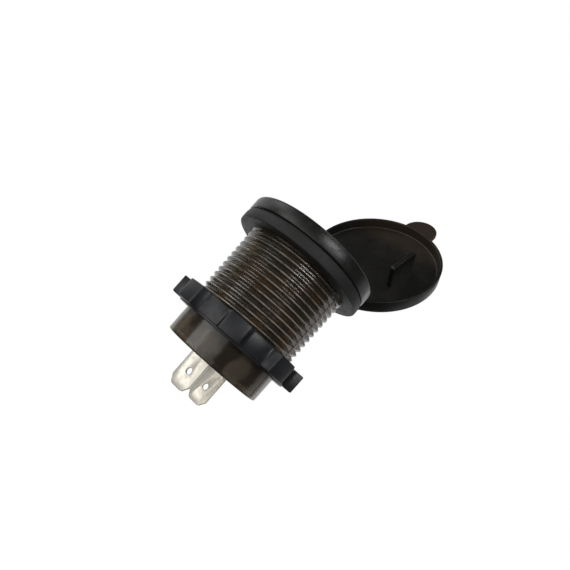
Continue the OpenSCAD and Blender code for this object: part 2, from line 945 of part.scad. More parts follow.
// Lamp with a round nose, standing on the port board
module status_led() {
    color([0.8, 0.85, 0.95])
        rotate_extrude()
            polygon([
                [0, port_board_top],
                [led_foot_r, port_board_top],
                [led_foot_r, port_board_top + led_foot_t],
                [led_r, port_board_top + led_foot_t],
                for (a = [0:15:90]) [led_r * cos(a), port_board_top + led_body + led_r * sin(a)]
            ]);
}

module light_pipe() {
    color([0.9, 0.92, 0.95])
        union() {
            rod(lamp_d / 2, port_board_top + led_body + led_r + slip, flange_front + pipe_proud);
            rod(lamp_d / 2 + pipe_collar, plate_back - 1, plate_back);
        }
}

housing();
panel_gasket();
cap_collar();
cap_hinge_web();
dust_cap();
lock_nut();
face_plate();
usb_shell(1);  // usb_shell_a
usb_shell(-1);  // usb_shell_b
usb_tongue(1);  // usb_tongue_a
usb_tongue(-1);  // usb_tongue_b
usb_contacts(1);  // usb_contacts_a
usb_contacts(-1);  // usb_contacts_b
port_board();
power_board();
board_pins();
pin_header();
blade_positive();
blade_negative();
input_capacitor();
output_capacitor();
noise_capacitor();
inductor_core();
inductor_winding();
converter_chip();
charge_chip();
blocking_diode();
status_led();
light_pipe();
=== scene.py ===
"""Looks of a panel-mount USB charging socket for a vehicle dash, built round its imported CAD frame.

The barrel's axis is Z, its face looks along +Z and the rubber seat lies on the panel at Z = 0. The
dust cap hinges on the +Y side and rests open. Lengths are in metres, and a size in millimetres is
multiplied by MM.
"""

from __future__ import annotations

import json
import logging
import math
from collections.abc import Callable, Iterator
from contextlib import contextmanager
from dataclasses import dataclass, field
from enum import Enum

import bpy
from mathutils import Euler, Matrix, Vector


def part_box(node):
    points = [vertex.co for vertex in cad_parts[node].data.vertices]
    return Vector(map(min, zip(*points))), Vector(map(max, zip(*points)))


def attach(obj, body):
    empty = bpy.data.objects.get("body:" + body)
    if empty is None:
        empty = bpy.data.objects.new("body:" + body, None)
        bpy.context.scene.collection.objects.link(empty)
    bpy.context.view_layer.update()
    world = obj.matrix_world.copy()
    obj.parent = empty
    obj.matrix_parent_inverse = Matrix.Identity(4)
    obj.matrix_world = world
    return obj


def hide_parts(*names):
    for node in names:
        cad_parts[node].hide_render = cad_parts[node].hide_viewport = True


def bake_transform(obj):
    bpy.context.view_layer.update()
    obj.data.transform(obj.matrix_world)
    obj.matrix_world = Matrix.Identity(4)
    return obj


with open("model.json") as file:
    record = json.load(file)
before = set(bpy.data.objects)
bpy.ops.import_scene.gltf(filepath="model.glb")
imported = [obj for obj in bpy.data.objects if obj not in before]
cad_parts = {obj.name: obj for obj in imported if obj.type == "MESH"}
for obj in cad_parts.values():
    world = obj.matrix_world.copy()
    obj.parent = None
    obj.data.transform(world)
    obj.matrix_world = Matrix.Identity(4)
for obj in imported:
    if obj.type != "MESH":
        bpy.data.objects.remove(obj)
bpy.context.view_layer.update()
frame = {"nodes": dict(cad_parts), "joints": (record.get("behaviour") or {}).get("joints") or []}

LOG = logging.getLogger("socket")
MM = 0.001
SAME_SPOT = 0.0005 * MM
ON_PLANE = 0.0001 * MM
FULL_TURN = 2 * math.pi
ROUND_STEPS = 144
ORIGIN = Vector()
X_AXIS = Vector((1, 0, 0))
Y_AXIS = Vector((0, 1, 0))
Z_AXIS = Vector((0, 0, 1))

Colour = tuple[float, float, float]
Factors = tuple[float, float, float]
Point = tuple[float, float]
Span = tuple[float, float]
Test = Callable[[Vector], bool]


class Domain(Enum):
    """What an edit step selects."""

    VERTS = "VERT"
    EDGES = "EDGE"
    FACES = "FACE"


class Combine(Enum):
    """How a second solid changes the first."""

    ADD = "UNION"
    CUT = "DIFFERENCE"


class Side(Enum):
    """The two ports, and the two blades, by the sign of their place."""

    PLUS = 1
    MINUS = -1


def arc(centre: Point, radius: float, start: float, end: float, steps: int) -> list[Point]:
    """Points along a round stretch of an outline.

    Args:
        centre: Middle of the circle.
        radius: Radius of the circle.
        start: First angle, in degrees.
        end: Last angle, in degrees.
        steps: Number of stretches that the arc is split into.

    Returns:
        The points, both ends among them.
    """
    angles = [math.radians(start + (end - start) * i / steps) for i in range(steps + 1)]
    return [(centre[0] + radius * math.cos(a), centre[1] + radius * math.sin(a)) for a in angles]


class Form:
    """A mesh object while it is modelled by Blender's own tools."""

    def __init__(self, obj: bpy.types.Object) -> None:
        """Takes the object that is to be shaped."""
        self.obj = obj

    @staticmethod
    def nothing_selected() -> None:
        """Leaves edit mode and deselects every object."""
        if bpy.context.object is not None and bpy.context.object.mode != "OBJECT":
            bpy.ops.object.mode_set(mode="OBJECT")
        bpy.ops.object.select_all(action="DESELECT")

    @classmethod
    def added(cls) -> Form:
        """The primitive that was just added."""
        return cls(bpy.context.object)

    @classmethod
    def block(cls, low: Vector, high: Vector) -> Form:
        """A block between two corners.

        Args:
            low: Lowest corner.
            high: Highest corner.

        Returns:
            The block, with its place in its mesh.
        """
        cls.nothing_selected()
        bpy.ops.mesh.primitive_cube_add(size=1, location=(low + high) / 2)
        form = cls.added()
        form.obj.scale = high - low
        return form.settled()

    @classmethod
    def rod(cls, radius: float, low: Vector, high: Vector, sides: int = ROUND_STEPS) -> Form:
        """A round rod between two points.

        Args:
            radius: Radius of the rod.
            low: Centre of one end.
            high: Centre of the other end.
            sides: Number of sides.

        Returns:
            The rod, with its place in its mesh.
        """
        cls.nothing_selected()
        along = high - low
        turn = along.to_track_quat("Z", "Y").to_euler()
        bpy.ops.mesh.primitive_cylinder_add(
            vertices=sides, radius=radius, depth=along.length,
            location=(low + high) / 2, rotation=turn,
        )
        return cls.added().settled()

    @classmethod
    def chain(cls, points: list[Vector], closed: bool) -> Form:
        """A chain of edges, drawn by extruding one vertex from point to point.

        Args:
            points: The chain's points.
            closed: Whether the last point is joined to the first.

        Returns:
            The chain.
        """
        cls.nothing_selected()
        bpy.ops.mesh.primitive_plane_add(size=MM)
        form = cls.added()
        with form.editing(Domain.VERTS):
            bpy.ops.mesh.merge(type="CENTER")
            bpy.ops.transform.translate(value=points[0])
            for before, after in zip(points, points[1:]):
                bpy.ops.mesh.extrude_region_move(TRANSFORM_OT_translate={"value": after - before})
        if closed:
            for vertex in form.obj.data.vertices:
                vertex.select = vertex.index in (0, len(points) - 1)
            bpy.ops.object.mode_set(mode="EDIT")
            bpy.ops.mesh.edge_face_add()
            bpy.ops.object.mode_set(mode="OBJECT")
        return form

    @classmethod
    def lathe(cls, outline: list[Point]) -> Form:
        """A closed outline of radius and height, spun round Z.

        Args:
            outline: Corners of the section, which may end on the axis.

        Returns:
            The turned solid.
        """
        on_axis = outline[0][0] == 0 and outline[-1][0] == 0
        form = cls.chain([Vector((r, 0, z)) for r, z in outline], closed=not on_axis)
        with form.editing(Domain.EDGES):
            bpy.ops.mesh.spin(steps=ROUND_STEPS, angle=FULL_TURN, center=ORIGIN, axis=Z_AXIS)
        return form.cleaned()

    @classmethod
    def plate(cls, outline: list[Point], low: float, high: float) -> Form:
        """A flat outline in X and Y, extruded between two heights.

        Args:
            outline: Corners of the outline.
            low: Lower height.
            high: Upper height.

        Returns:
            The plate.
        """
        form = cls.chain([Vector((x, y, low)) for x, y in outline], closed=True)
        with form.editing(Domain.EDGES):
            bpy.ops.mesh.edge_face_add()
            bpy.ops.mesh.extrude_region_move(TRANSFORM_OT_translate={"value": (0, 0, high - low)})
        return form.cleaned()

    @contextmanager
    def editing(self, domain: Domain, test: Test | None = None) -> Iterator[None]:
        """Edit mode with everything selected, or only the edges that pass a test.

        Args:
            domain: What is selected.
            test: Takes the middle of an edge and says whether it is selected.

        Yields:
            Nothing; edit mode ends with the block.
        """
        self.make_active()
        bpy.ops.object.mode_set(mode="EDIT")
        bpy.ops.mesh.select_mode(type=domain.value)
        bpy.ops.mesh.select_all(action="DESELECT" if test else "SELECT")
        if test:
            bpy.ops.object.mode_set(mode="OBJECT")
            spots = [v.co for v in self.obj.data.vertices]
            for edge in self.obj.data.edges:
                a, b = edge.vertices
                edge.select = test((spots[a] + spots[b]) / 2)
            bpy.ops.object.mode_set(mode="EDIT")
        yield
        bpy.ops.object.mode_set(mode="OBJECT")

    def make_active(self) -> None:
        """Makes this the one selected and active object."""
        self.nothing_selected()
        self.obj.select_set(True)
        bpy.context.view_layer.objects.active = self.obj

    def settled(self) -> Form:
        """Moves the object's place, turn and scale into its mesh.

        Returns:
            The same form.
        """
        self.make_active()
        bpy.ops.object.transform_apply(location=True, rotation=True, scale=True)
        return self

    def cleaned(self) -> Form:
        """Merges doubles and points the faces outwards.

        Returns:
            The same form.
        """
        with self.editing(Domain.VERTS):
            bpy.ops.mesh.remove_doubles(threshold=SAME_SPOT)
            bpy.ops.mesh.normals_make_consistent(inside=False)
        return self

    def turned(self, degrees: float, axis: Vector, centre: Vector = ORIGIN) -> Form:
        """Turns the mesh about a line.

        Args:
            degrees: Angle by the right-hand rule.
            axis: Direction of the line.
            centre: A point on the line.

        Returns:
            The same form.
        """
        turn = Matrix.Rotation(math.radians(degrees), 4, axis)
        self.obj.matrix_world = Matrix.Translation(centre) @ turn @ Matrix.Translation(-centre)
        return self.settled()

    def with_modifier(self, kind: str, **settings: object) -> Form:
        """Adds a modifier and applies it.

        Args:
            kind: Type of the modifier.
            **settings: Its properties.

        Returns:
            The same form.
        """
        self.make_active()
        modifier = self.obj.modifiers.new(kind.title(), kind)
        for key, value in settings.items():
            setattr(modifier, key, value)
        bpy.ops.object.modifier_apply(modifier=modifier.name)
        return self

    def combined(self, other: Form, how: Combine) -> Form:
        """Adds another solid to this one, or cuts it away, and removes the other.

        Args:
            other: The second solid.
            how: Whether it is added or cut away.

        Returns:
            The same form.
        """
        self.with_modifier("BOOLEAN", operation=how.value, object=other.obj, solver="EXACT")
        bpy.data.objects.remove(other.obj)
        return self

    def bevelled(self, width: float, segments: int = 2, angle: float = 35) -> Form:
        """Rounds the sharp edges.

        Args:
            width: Width of the round.
            segments: Number of steps across it.
            angle: Edges sharper than this are rounded, in degrees.

        Returns:
            The same form.
        """
        return self.with_modifier(
            "BEVEL", width=width, segments=segments,
            limit_method="ANGLE", angle_limit=math.radians(angle),
        )

    def sliced(self, point: Vector, normal: Vector) -> Form:
        """Cuts off what lies beyond a plane and closes the cut.

        Args:
            point: A point on the plane.
            normal: Direction of the side that is cut off.

        Returns:
            The same form.
        """
        with self.editing(Domain.FACES):
            bpy.ops.mesh.bisect(
                plane_co=point, plane_no=normal, use_fill=True, clear_outer=True, threshold=ON_PLANE
            )
        return self

    def shaded(self, name: str, finish: Finish, sharp: float) -> bpy.types.Object:
        """Names the piece, shades it and dresses it.

        Args:
            name: Name of the piece.
            finish: The finish that it gets.
            sharp: Edges sharper than this stay sharp, in degrees.

        Returns:
            The dressed object.
        """
        self.make_active()
        bpy.ops.object.shade_smooth_by_angle(angle=math.radians(sharp))
        self.obj.name = self.obj.data.name = name
        self.obj.data.materials.clear()
        self.obj.data.materials.append(finish.material())
        return self.obj

    def finished(
        self, name: str, finish: Finish, body: str, node: str, sharp: float = 35
    ) -> bpy.types.Object:
        """Shades the piece, dresses it, and puts it on its body in place of its CAD node.

        Args:
            name: Name of the piece.
            finish: The finish that it gets.
            body: CAD body that it rides on.
            node: CAD node that it stands for.
            sharp: Edges sharper than this stay sharp, in degrees.

        Returns:
            The finished object.
        """
        obj = self.shaded(name, finish, sharp)
        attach(obj, body)
        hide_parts(node)
        return obj


class Signal:
    """A value in a shader; arithmetic on it adds Math nodes."""

    def __init__(self, shader: Shader, socket: bpy.types.NodeSocket) -> None:
        """Wraps one output socket of the shader."""
        self.shader = shader
        self.socket = socket

    def math(self, operation: str, *values: Signal | float) -> Signal:
        """One Math node.

        Args:
            operation: The node's operation.
            *values: Its inputs, in order.

        Returns:
            The node's result.
        """
        inputs = dict(enumerate(values))
        node = self.shader.node("ShaderNodeMath", {"operation": operation}, inputs)
        return Signal(self.shader, node.outputs[0])

    def __add__(self, other: Signal | float) -> Signal:
        """The sum."""
        return self.math("ADD", self, other)

    def __radd__(self, other: float) -> Signal:
        """The sum, with the number first."""
        return self.math("ADD", other, self)

    def __sub__(self, other: Signal | float) -> Signal:
        """The difference."""
        return self.math("SUBTRACT", self, other)

    def __rsub__(self, other: float) -> Signal:
        """The difference, with the number first."""
        return self.math("SUBTRACT", other, self)

    def __mul__(self, other: Signal | float) -> Signal:
        """The product."""
        return self.math("MULTIPLY", self, other)

    def __rmul__(self, other: float) -> Signal:
        """The product, with the number first."""
        return self.math("MULTIPLY", other, self)

    def __pow__(self, other: Signal | float) -> Signal:
        """The power."""
        return self.math("POWER", self, other)

    def __rpow__(self, other: float) -> Signal:
        """The power, with the number first."""
        return self.math("POWER", other, self)

    def step(self, start: float, end: float) -> Signal:
        """A smooth rise from 0 to 1.

        Args:
            start: Value where the rise starts.
            end: Value where it ends.

        Returns:
            The rise.
        """
        settings = {"interpolation_type": "SMOOTHSTEP"}
        inputs = {"Value": self, "From Min": start, "From Max": end}
        node = self.shader.node("ShaderNodeMapRange", settings, inputs)
        return Signal(self.shader, node.outputs["Result"])


class Shader:
    """A material under construction, round one Principled BSDF."""

    MIX_FACTOR, MIX_FIRST, MIX_SECOND, MIX_COLOUR = 0, 6, 7, 2

    def __init__(self, name: str) -> None:
        """Starts an empty material.

        Args:
            name: Name of the material.
        """
        self.material = bpy.data.materials.new(name)
        self.material.use_nodes = True
        self.tree = self.material.node_tree
        self.tree.nodes.clear()
        self.surface = self.node("ShaderNodeBsdfPrincipled", {}, {})
        output = self.node("ShaderNodeOutputMaterial", {}, {})
        self.tree.links.new(self.surface.outputs[0], output.inputs["Surface"])

    def node(self, kind: str, settings: dict[str, object], inputs: dict) -> bpy.types.Node:
        """Adds any node.

        Args:
            kind: Type of the node.
            settings: Its properties, which are set first.
            inputs: Values, signals or sockets by the input's name or number.

        Returns:
            The new node.
        """
        made = self.tree.nodes.new(kind)
        for key, value in settings.items():
            setattr(made, key, value)
        for key, value in inputs.items():
            self.feed(made.inputs[key], value)
        return made

    def feed(self, socket: bpy.types.NodeSocket, value: object) -> None:
        """Links or sets one input socket.

        Args:
            socket: The input.
            value: A signal, a socket or a constant.
        """
        source = value.socket if isinstance(value, Signal) else value
        if isinstance(source, bpy.types.NodeSocket):
            self.tree.links.new(source, socket)
        elif isinstance(value, tuple) and socket.type == "RGBA":
            socket.default_value = (*value, 1)
        else:
            socket.default_value = value

    def place(self) -> bpy.types.NodeSocket:
        """Place on the object, in metres."""
        return self.node("ShaderNodeTexCoord", {}, {}).outputs["Object"]

    def along(self, axis: str) -> Signal:
        """One coordinate of the place on the object."""
        node = self.node("ShaderNodeSeparateXYZ", {}, {"Vector": self.place()})
        return Signal(self, node.outputs[axis])

    def noise(self, size: float, detail: float, stretch: Factors = (1, 1, 1)) -> Signal:
        """Soft noise between 0 and 1.

        Args:
            size: Size of its blotches, in metres.
            detail: Number of finer layers.
            stretch: Factor on each axis of the pattern.

        Returns:
            The noise.
        """
        mapped = self.node("ShaderNodeMapping", {}, {"Vector": self.place(), "Scale": stretch})
        inputs = {"Vector": mapped.outputs[0], "Scale": 1 / size, "Detail": detail}
        return Signal(self, self.node("ShaderNodeTexNoise", {}, inputs).outputs[0])

    def blend(self, factor: Signal, first: object, second: object) -> bpy.types.NodeSocket:
        """Mixes two colours.

        Args:
            factor: 0 gives the first, 1 the second.
            first: A colour or socket.
            second: A colour or socket.

        Returns:
            The mixed colour.
        """
        settings = {"data_type": "RGBA", "clamp_factor": True}
        inputs = {self.MIX_FACTOR: factor, self.MIX_FIRST: first, self.MIX_SECOND: second}
        return self.node("ShaderNodeMix", settings, inputs).outputs[self.MIX_COLOUR]

    def bump(self, height: Signal, depth: float) -> None:
        """Feeds a height to the surface's normal.

        Args:
            height: Height between 0 and 1.
            depth: Real height that 1 stands for, in metres.
        """
        inputs = {"Strength": 1, "Distance": depth, "Height": height}
        node = self.node("ShaderNodeBump", {}, inputs)
        self.feed(self.surface.inputs["Normal"], node.outputs[0])

    def set(self, **values: object) -> None:
        """Sets or links the surface's own sockets.

        Args:
            **values: Constants, signals or sockets by socket name, with _ for a space.
        """
        for key, value in values.items():
            self.feed(self.surface.inputs[key.replace("_", " ")], value)


_dressed: dict[str, bpy.types.Material] = {}


@dataclass(frozen=True)
class Finish:
    """A moulded, cast or plated finish with blotches, handling marks and grain.

    A span says where a rise starts and ends, in a noise's own value or in metres along an axis.
    """

    name: str
    slot: str
    colour: Colour
    worn: Colour
    roughness: float
    swing: float = 0.12
    blotch: float = 6 * MM
    blotch_span: Span = (0.35, 0.7)
    blotch_mean: float = 0.5
    blotch_share: float = 0.6
    marks_per_blotch: float = 5
    mark_span: Span = (0.45, 0.75)
    mark_mean: float = 0.4
    grain: float = 0.25 * MM
    grain_depth: float = 0.01 * MM
    metallic: float = 0
    specular: float = 0.5
    coat: float = 0
    coat_roughness: float = 0.1

    def material(self) -> bpy.types.Material:
        """The finish's one material, made on its first use.

        Returns:
            The material.
        """
        if self.name not in _dressed:
            shader = Shader(self.name)
            self.dress(shader)
            _dressed[self.name] = shader.material
        return _dressed[self.name]

    def dress(self, shader: Shader) -> None:
        """Builds the nodes.

        Args:
            shader: The material to fill.
        """
        blotches = shader.noise(self.blotch, detail=4).step(*self.blotch_span)
        marks = shader.noise(self.blotch / self.marks_per_blotch, detail=5).step(*self.mark_span)
        wear = blotches * self.blotch_share + marks * (1 - self.blotch_share)
        rough = self.roughness + self.swing * (marks - self.mark_mean)
        rough += self.swing * self.blotch_share * (blotches - self.blotch_mean)
        shader.set(
            Base_Color=shader.blend(wear, self.colour, self.worn),
            Roughness=rough,
            Metallic=self.metallic,
            Specular_IOR_Level=self.specular,
            Coat_Weight=self.coat,
            Coat_Roughness=self.coat_roughness,
        )
        shader.bump(self.texture(shader), self.grain_depth)

    def texture(self, shader: Shader) -> Signal:
        """The fine grain that stands up from the surface."""
        return shader.noise(self.grain, detail=2)


@dataclass(frozen=True)
class ClearFinish(Finish):
    """Clear moulding that tints the light passing through it."""

    clearness: float = 0.7
    ior: float = 1.5

    def dress(self, shader: Shader) -> None:
        """Builds the nodes and lets light through."""
        super().dress(shader)
        shader.set(Transmission_Weight=self.clearness, IOR=self.ior)


@dataclass(frozen=True)
class SmokeFinish(ClearFinish):
    """Smoke-brown clear moulding, with pale painted highlights on its thread's crests, and paler on
    its flats and its rear end.
    """

    thread_span: Span = (0.5 * MM, 0.1 * MM)
    # crest and dim_crest_highlight are painted highlights on the thread's crests, the dim one where
    # the lit noise is low.
    crest: Colour = (0.72, 0.67, 0.58)
    dim_crest_highlight: Colour = (0.2, 0.18, 0.14)
    crest_span: Span = (14.29 * MM, 14.395 * MM)
    lit_span: Span = (0.36, 0.6)
    lit_stretch: Factors = (1, 1, 0.35)
    flat: Colour = (0.42, 0.37, 0.34)
    flat_span: Span = (13.84 * MM, 13.87 * MM)
    patch: Colour = (0.14, 0.085, 0.042)
    patch_size: float = 6 * MM
    patch_span: Span = (0.45, 0.62)
    rear: Colour = (0.2, 0.165, 0.12)
    rear_span: Span = (24.3 * MM, 24.6 * MM)
    shade: Colour = (0.06, 0.043, 0.024)
    shade_size: float = 7.2 * MM
    shade_span: Span = (0.44, 0.56)

    def dress(self, shader: Shader) -> None:
        """Builds the nodes.

        Args:
            shader: The material to fill.
        """
        super().dress(shader)
        base = shader.surface.inputs["Base Color"]
        x, y, z = (shader.along(axis) for axis in "XYZ")
        on_thread = z.step(*self.thread_span)
        patches = shader.noise(self.patch_size, detail=2).step(*self.patch_span)
        colour = shader.blend(patches, base.links[0].from_socket, self.patch)
        shades = shader.noise(self.shade_size, detail=1).step(*self.shade_span)
        rear = shader.blend(shades, self.rear, self.shade)
        colour = shader.blend((z * -1).step(*self.rear_span), colour, rear)
        on_flat = ((x * x) ** 0.5).step(*self.flat_span) * on_thread
        colour = shader.blend(on_flat, colour, self.flat)
        # Painted highlight: the thread's crests are coloured pale, dimmer in patches.
        lit = shader.noise(self.patch_size, 3, self.lit_stretch).step(*self.lit_span)
        crest = shader.blend(lit, self.dim_crest_highlight, self.crest)
        on_crest = ((x * x + y * y) ** 0.5).step(*self.crest_span) * on_thread
        shader.feed(base, shader.blend(on_crest, colour, crest))


@dataclass(frozen=True)
class ElastomerFinish(Finish):
    """Soft black cap material with brown painted on its thin finger tab, standing in for light
    shining through it.
    """

    # thin is painted light: the brown that light shining through the thin tab gives.
    thin: Colour = (0.034, 0.023, 0.014)
    tab_span: Span = (29 * MM, 38 * MM)

    def dress(self, shader: Shader) -> None:
        """Builds the nodes.

        Args:
            shader: The material to fill.
        """
        super().dress(shader)
        base = shader.surface.inputs["Base Color"]
        # Painted light: brown blended in towards the tab, where light would shine through it.
        tab = shader.along("Z").step(*self.tab_span)
        shader.feed(base, shader.blend(tab, base.links[0].from_socket, self.thin))


@dataclass(frozen=True)
class BrushedFinish(Finish):
    """Sheet metal with fine lines along the strip it was rolled from."""

    brush: Factors = (1, 1, 0.04)

    def texture(self, shader: Shader) -> Signal:
        """The fine lines that stand up from the surface."""
        return shader.noise(self.grain, 3, self.brush)


SMOKE = SmokeFinish(
    "smoke", "smoke_plastic", (0.09, 0.076, 0.052), (0.06, 0.047, 0.03), 0.19,
    swing=0.03, grain=1.5 * MM, grain_depth=0.001 * MM, clearness=0.66,
)
CAP = ElastomerFinish(
    "cap", "cap_elastomer", (0.006, 0.0055, 0.0044), (0.009, 0.0083, 0.007), 0.42
)
COLLAR = Finish("collar", "cap_elastomer", (0.009, 0.009, 0.008), (0.014, 0.014, 0.0125), 0.34)
RUBBER = Finish(
    "rubber", "seat_rubber", (0.017, 0.017, 0.0165), (0.025, 0.025, 0.024), 0.6, specular=0.4
)
NUT = Finish("nut", "nut_plastic", (0.014, 0.015, 0.018), (0.021, 0.022, 0.026), 0.42)
FACE = Finish(
    "face", "face_plastic", (0.012, 0.012, 0.012), (0.02, 0.02, 0.02), 0.5, grain_depth=0.02 * MM
)
TINNED = BrushedFinish(
    "tinned", "tinned_brass", (0.98, 0.94, 0.82), (0.95, 0.9, 0.76), 0.4, metallic=0.55
)
STEEL = BrushedFinish("steel", "shell_steel", (0.7, 0.71, 0.73), (0.6, 0.6, 0.62), 0.28, metallic=1)
PORT_WHITE = Finish("port_white", "port_plastic", (0.78, 0.78, 0.75), (0.7, 0.7, 0.66), 0.4)
GOLD = BrushedFinish(
    "gold", "gold_contact", (0.86, 0.62, 0.24), (0.7, 0.48, 0.18), 0.25, metallic=1
)
LAMINATE = Finish(
    "laminate", "board_laminate", (0.02, 0.12, 0.05), (0.03, 0.16, 0.07), 0.3, coat=0.4
)
BLACK = Finish("black", "black_plastic", (0.012, 0.012, 0.013), (0.022, 0.022, 0.023), 0.45)
SLEEVE = Finish("sleeve", "can_sleeve", (0.02, 0.025, 0.06), (0.03, 0.035, 0.08), 0.3, coat=0.3)
COPPER = Finish(
    "copper", "copper_wire", (0.62, 0.25, 0.1), (0.5, 0.18, 0.07), 0.3, metallic=0.9, coat=0.4
)
FERRITE = Finish("ferrite_grey", "ferrite", (0.03, 0.03, 0.032), (0.05, 0.05, 0.052), 0.7)
CLEAR = ClearFinish("clear", "clear_plastic", (0.9, 0.92, 0.95), (0.85, 0.88, 0.92), 0.1)


@dataclass
class Barrel:
    """Threaded barrel with its flange, stepped bore, flats and closed rear end.

    The parting ridge's X span starts at the flat, and its ends are measured from the barrel's rear
    end and from the panel. A share is one of the pitch, and slot_half is half a slot's X and Y.
    """

    thread_r: float = 14.4 * MM
    thread_end: float = -23.8 * MM
    lap: float = 0.1 * MM
    pitch: float = 1.6 * MM
    depth: float = 0.6 * MM
    crest_share: float = 0.07
    valley_share: float = 0.1
    crest_round: float = 0.14 * MM
    flat_depth: float = 0.5 * MM
    ridge_x: Span = (-0.37 * MM, 0.15 * MM)
    ridge_y: Span = (-0.157 * MM, 0.143 * MM)
    ridge_ends: Span = (0.53 * MM, -0.47 * MM)
    ridge_round: float = 0.06 * MM
    rear_r: float = 13.85 * MM
    edge: float = 0.45 * MM
    front_step: float = 0.03 * MM
    flange_r: float = 16.9 * MM
    flange_back: float = 3.5 * MM
    flange_front: float = 6.2 * MM
    plate_back: float = 4.8 * MM
    plate_r: float = 15.9 * MM
    port_floor: float = -10.2 * MM
    power_floor: float = -23.6 * MM
    bore: float = 12.6 * MM
    ledge: float = 0.4 * MM
    rear_wall: float = 1.5 * MM
    sleeve_r: float = 12.9 * MM
    sunk: float = 0.3 * MM
    slot_half: Span = (3.2 * MM, 0.45 * MM)
    slot_beyond: float = 0.5 * MM
    rear: float = field(init=False)

    def __post_init__(self) -> None:
        """Reads the rear end's place from the frame."""
        self.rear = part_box("housing")[0].z

    @property
    def flat_x(self) -> float:
        """Distance of the flats from the axis."""
        return self.thread_r - self.flat_depth

    def outline(self) -> list[Point]:
        """Section of the barrel without its thread.

        Returns:
            Its corners, from the axis out, forward, and back in.
        """
        inside, edge = self.rear + self.rear_wall, self.edge
        seam, core = self.thread_end + self.lap, self.sleeve_r + self.sunk
        front = self.thread_r + self.front_step
        power_r, pins_r = self.bore - self.ledge, self.bore - 2 * self.ledge
        return [
            (0, self.rear),
            *arc((self.rear_r - edge, self.rear + edge), edge, -90, 0, 4),
            (self.rear_r, seam), (core, seam), (core, 0),
            (front, 0), (front, self.flange_back), (self.flange_r, self.flange_back),
            *arc((self.flange_r - edge, self.flange_front - edge), edge, 0, 90, 4),
            (self.plate_r, self.flange_front), (self.plate_r, self.plate_back),
            (self.bore, self.plate_back), (self.bore, self.port_floor),
            (power_r, self.port_floor), (power_r, self.power_floor),
            (pins_r, self.power_floor), (pins_r, inside), (0, inside),
        ]

    def thread(self) -> Form:
        """The threaded sleeve: one pitch of the profile wound up as a screw, with the two flats.

        Returns:
            The sleeve.
        """
        root_r, half, soft = self.thread_r - self.depth, self.pitch / 2, self.crest_round
        crest, valley = self.crest_share * self.pitch, self.valley_share * self.pitch
        rise = [
            (root_r, -half),
            (root_r, valley - half),
            (self.thread_r - soft, -crest - soft),
            (self.thread_r - 0.3 * soft, -crest - 0.4 * soft),
            (self.thread_r, -crest),
        ]
        section = rise + [(r, -z) for r, z in reversed(rise)]
        # The screw starts and ends beyond the sleeve, which the two cuts across it trim.
        start = self.thread_end - 1.5 * self.pitch
        turns = math.ceil((2 * self.pitch - start) / self.pitch)
        form = Form.chain([Vector((r, 0, start + z)) for r, z in section], closed=False)
        form.with_modifier(
            "SCREW", angle=FULL_TURN, screw_offset=self.pitch, iterations=turns,
            steps=ROUND_STEPS, render_steps=ROUND_STEPS, use_normal_calculate=True,
        )
        form.cleaned()
        form.sliced(Z_AXIS * self.lap, Z_AXIS)
        form.sliced(Z_AXIS * self.thread_end, -Z_AXIS)
        for side in Side:
            form.sliced(X_AXIS * side.value * self.flat_x, X_AXIS * side.value)
        form.combined(Form.rod(self.sleeve_r, Z_AXIS * self.rear, Z_AXIS * MM), Combine.CUT)
        return form.cleaned()

    def parting_ridge(self, side: Side) -> Form:
        """The thin line that the mould's halves leave down one flat.

        Args:
            side: Which flat.

        Returns:
            The ridge.
        """
        (sunk, proud), (left, right), (rear, front) = self.ridge_x, self.ridge_y, self.ridge_ends
        low = Vector((self.flat_x + sunk, left, self.rear + rear))
        high = Vector((self.flat_x + proud, right, front))
        form = Form.block(low, high).bevelled(self.ridge_round)
        return form if side is Side.PLUS else form.turned(180, Z_AXIS)

    def build(self) -> bpy.types.Object:
        """Makes the barrel.

        Returns:
            The finished piece.
        """
        form = Form.lathe(self.outline())
        form.combined(self.thread(), Combine.ADD)
        for side in Side:
            form.combined(self.parting_ridge(side), Combine.ADD)
        half_x, half_y = self.slot_half
        bottom, top = self.rear - MM, self.rear + self.rear_wall + self.slot_beyond
        for node in ("blade_positive", "blade_negative"):
            low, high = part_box(node)
            y = (low.y + high.y) / 2
            corner, opposite = (-half_x, y - half_y, bottom), (half_x, y + half_y, top)
            form.combined(Form.block(Vector(corner), Vector(opposite)), Combine.CUT)
        return form.cleaned().finished("barrel", SMOKE, "socket", "housing", sharp=28)


@dataclass
class Seat:
    """Rubber seat between the collar and the panel."""

    bore: float = 14.5 * MM
    bore_edge: float = 0.2 * MM
    rear_round: float = 0.3 * MM
    front_wide: float = 0.7 * MM
    front_tall: float = 1.3 * MM

    def build(self) -> bpy.types.Object:
        """Makes the seat.

        Returns:
            The finished piece.
        """
        low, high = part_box("panel_gasket")
        r, top, soft = high.x, high.z, self.rear_round
        wide, tall = self.front_wide, self.front_tall
        oval = [(r - wide + wide * x, top - tall + tall * y) for x, y in arc((0, 0), 1, 0, 90, 6)]
        outline = [
            (self.bore, low.z),
            *arc((r - soft, low.z + soft), soft, -90, 0, 3),
            *oval,
            (self.bore + self.bore_edge, top),
            (self.bore, top - self.bore_edge),
        ]
        form = Form.lathe(outline)
        return form.finished("rubber_seat", RUBBER, "socket", "panel_gasket", sharp=40)


